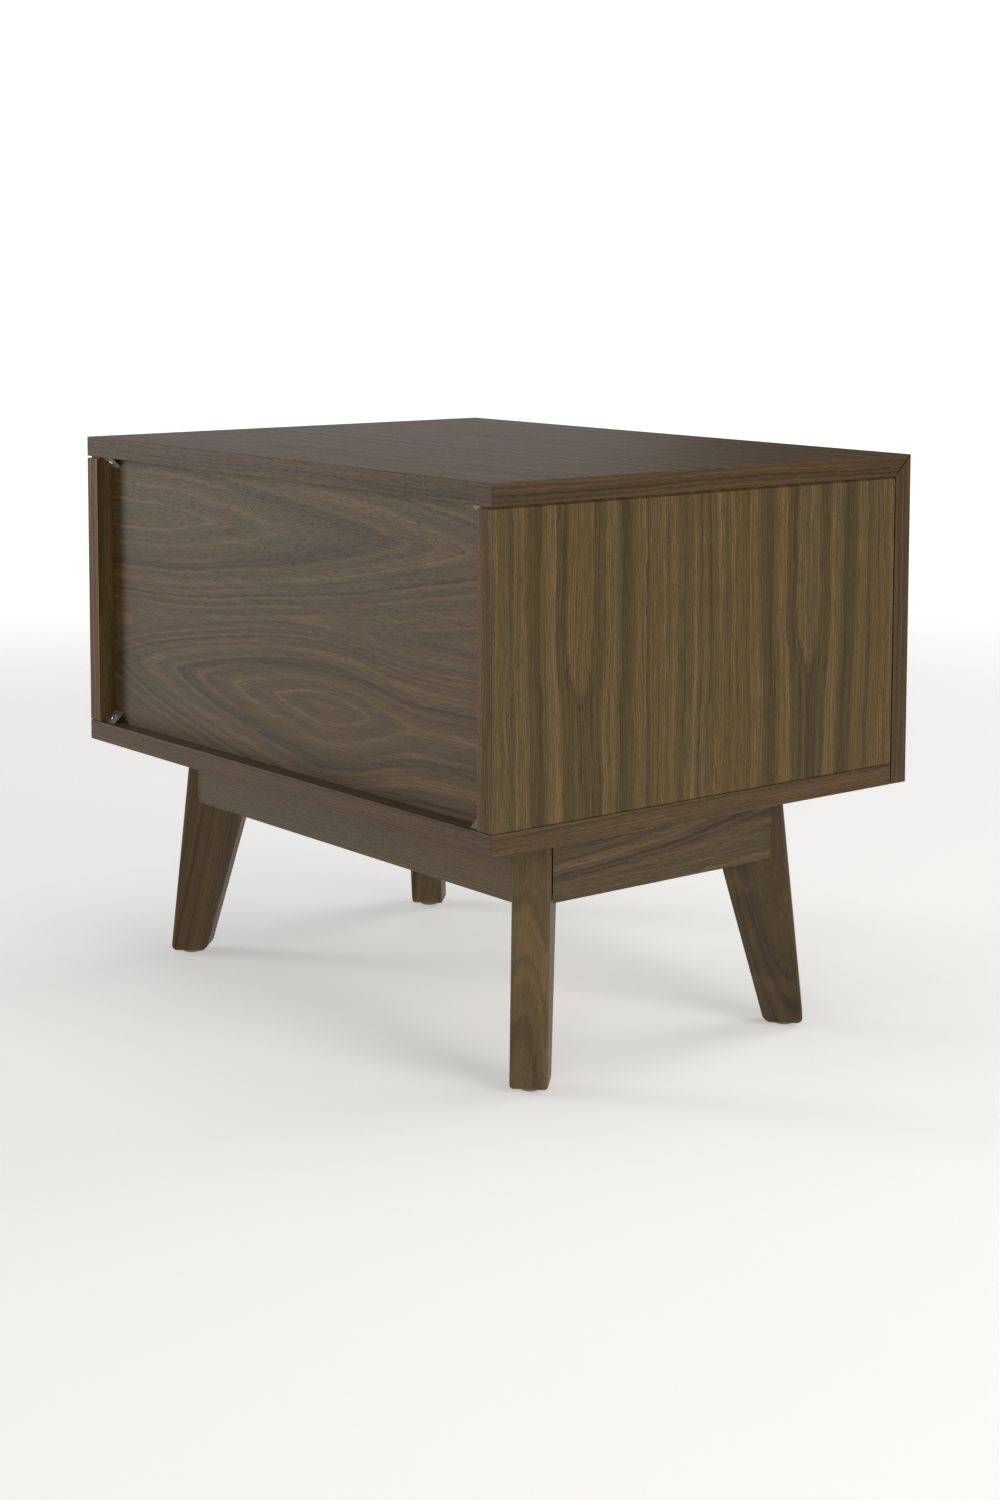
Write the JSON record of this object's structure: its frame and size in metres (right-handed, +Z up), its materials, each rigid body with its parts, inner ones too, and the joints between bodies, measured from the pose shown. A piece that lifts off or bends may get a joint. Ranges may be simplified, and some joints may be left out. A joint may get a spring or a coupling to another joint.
{
  "type": "side table with drawer",
  "caption": "Low wooden side table: a box with a mitred push-open drawer front and a recessed back, on splayed board legs.",
  "frame": {"origin": "on the floor, under the middle of the cabinet box", "axes": "+Z up, +X to the right across the width as seen from the drawer side, the drawer opens towards -Y and +Y is the recessed back"},
  "size_m": [0.61, 0.46, 0.494],
  "materials": {
    "walnut_top": "satin walnut veneer, grain along the width",
    "walnut_side": "satin walnut veneer, grain upright",
    "walnut_front": "satin walnut veneer, grain upright",
    "walnut_back": "satin walnut veneer, cathedral grain along the width",
    "walnut_base": "satin solid walnut",
    "drawer_ply": "clear lacquered plywood",
    "beech_dowel": "bare beech",
    "glide_plastic": "matt grey",
    "latch_plastic": "matt grey",
    "plunger_plastic": "semi-gloss white",
    "zinc_wedge": "zinc plated, dull",
    "zinc_screw": "zinc plated, bright",
    "runner_steel": "zinc plated sheet",
    "steel_ball": "polished"
  },
  "bodies": {
    "cabinet": {"apron_back": "walnut_base", "apron_front": "walnut_base", "apron_left": "walnut_base", "apron_right": "walnut_base", "back_panel": "walnut_back", "back_wedge_lower_left": "zinc_wedge", "back_wedge_lower_right": "zinc_wedge", "back_wedge_screws": "zinc_screw", "back_wedge_upper_left": "zinc_wedge", "back_wedge_upper_right": "zinc_wedge", "base_screws": "zinc_screw", "bottom_panel": "walnut_top", "brace_screws": "zinc_screw", "cam_bolts": "zinc_screw", "cam_locks": "zinc_wedge", "carcass_dowels": "beech_dowel", "corner_brace_back_left": "runner_steel", "corner_brace_back_right": "runner_steel", "corner_brace_front_left": "runner_steel", "corner_brace_front_right": "runner_steel", "foot_glide_back_left": "glide_plastic", "foot_glide_back_right": "glide_plastic", "foot_glide_front_left": "glide_plastic", "foot_glide_front_right": "glide_plastic", "glide_nails": "zinc_screw", "hanger_bolts": "zinc_screw", "hanger_nuts": "zinc_screw", "latch_housing": "latch_plastic", "latch_screws": "zinc_screw", "latch_spring": "zinc_screw", "left_side_panel": "walnut_side", "leg_back_left": "walnut_base", "leg_back_right": "walnut_base", "leg_dowels": "beech_dowel", "leg_front_left": "walnut_base", "leg_front_right": "walnut_base", "right_side_panel": "walnut_side", "runner_cabinet_member_left": "runner_steel", "runner_cabinet_member_right": "runner_steel", "runner_cabinet_screws": "zinc_screw", "top_panel": "walnut_top"},
    "drawer": {"drawer_front": "walnut_front", "drawer_box_front": "drawer_ply", "drawer_side_left": "drawer_ply", "drawer_side_right": "drawer_ply", "drawer_back": "drawer_ply", "drawer_bottom": "drawer_ply", "drawer_box_screws": "zinc_screw", "drawer_front_screws": "zinc_screw", "latch_strike": "zinc_screw", "runner_drawer_member_left": "runner_steel", "runner_drawer_member_right": "runner_steel", "runner_drawer_screws": "zinc_screw"},
    "runner_middles": {"runner_middle_member_left": "runner_steel", "runner_middle_member_right": "runner_steel"},
    "outer_ball_cages": {"runner_outer_ball_cages": "runner_steel", "runner_outer_balls": "steel_ball"},
    "inner_ball_cages": {"runner_inner_ball_cages": "runner_steel", "runner_inner_balls": "steel_ball"},
    "latch_plunger": {"latch_plunger": "plunger_plastic"}
  },
  "joints": [
    {"name": "drawer_slide", "type": "slide", "parent": "cabinet", "child": "drawer", "axis": [0, -1, 0], "range_m": [-0.0012, 0.33]},
    {"name": "runner_middle_slide", "type": "slide", "parent": "cabinet", "child": "runner_middles", "axis": [0, -1, 0], "range_m": [-0.0006, 0.165]},
    {"name": "outer_cage_slide", "type": "slide", "parent": "cabinet", "child": "outer_ball_cages", "axis": [0, -1, 0], "range_m": [-0.0003, 0.0825]},
    {"name": "inner_cage_slide", "type": "slide", "parent": "cabinet", "child": "inner_ball_cages", "axis": [0, -1, 0], "range_m": [-0.0009, 0.2475]},
    {"name": "latch_press", "type": "slide", "parent": "cabinet", "child": "latch_plunger", "axis": [0, 1, 0], "range_m": [0, 0.0012], "stiffness_N_per_m": 150, "deforming": ["latch_spring"]}
  ],
  "couplings": [
    {"joint": "runner_middle_slide", "follows": "drawer_slide", "ratio": 0.5},
    {"joint": "outer_cage_slide", "follows": "drawer_slide", "ratio": 0.25},
    {"joint": "inner_cage_slide", "follows": "drawer_slide", "ratio": 0.75}
  ]
}
